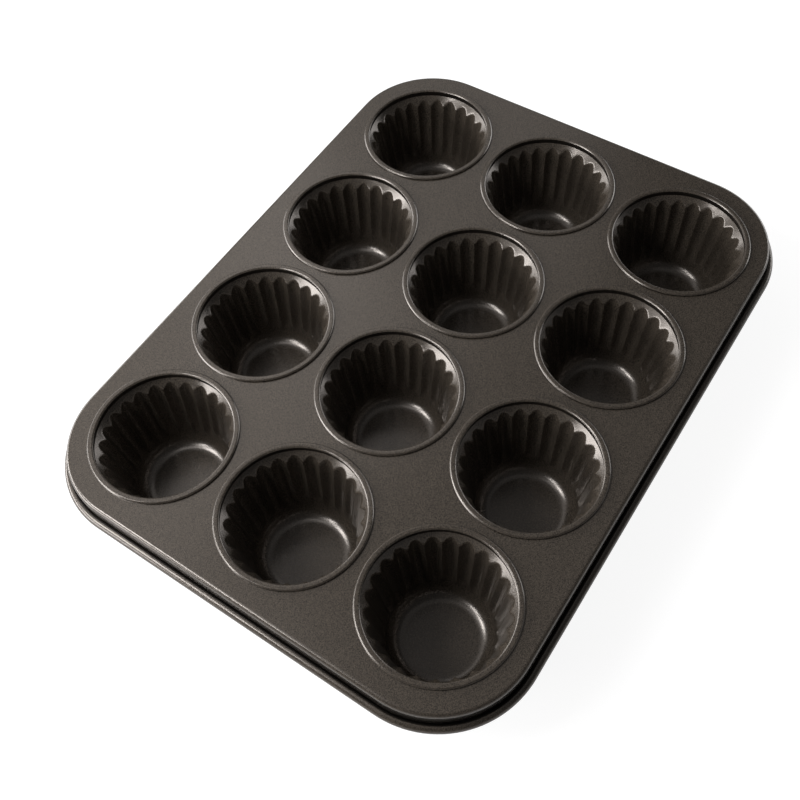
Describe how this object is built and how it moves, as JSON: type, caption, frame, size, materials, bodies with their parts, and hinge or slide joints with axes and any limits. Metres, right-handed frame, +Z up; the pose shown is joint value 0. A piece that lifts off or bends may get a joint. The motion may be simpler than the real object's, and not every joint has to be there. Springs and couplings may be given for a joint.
{
  "type": "muffin pan",
  "caption": "Rectangular muffin pan: fluted tapered cups seated in a flat frame plate with rounded corners and a wired rolled rim, for baking muffins or cupcakes.",
  "frame": {"origin": "centre of the pan at the level of the cups' undersides, the plane it stands on", "axes": "+X along the pan's length, +Y across it, +Z up out of the cups' mouths"},
  "size_m": [0.3494, 0.2646, 0.0537],
  "materials": {
    "nonstick_coating": "dark warm-grey satin non-stick coating with a fine speckle, on steel sheet",
    "wire_steel": "plain drawn steel wire"
  },
  "bodies": {
    "root": {"frame_plate": "nonstick_coating", "rim_wire": "wire_steel", "cup_r1_c1": "nonstick_coating", "cup_r1_c2": "nonstick_coating", "cup_r1_c3": "nonstick_coating", "cup_r1_c4": "nonstick_coating", "cup_r2_c1": "nonstick_coating", "cup_r2_c2": "nonstick_coating", "cup_r2_c3": "nonstick_coating", "cup_r2_c4": "nonstick_coating", "cup_r3_c1": "nonstick_coating", "cup_r3_c2": "nonstick_coating", "cup_r3_c3": "nonstick_coating", "cup_r3_c4": "nonstick_coating"}
  },
  "joints": []
}
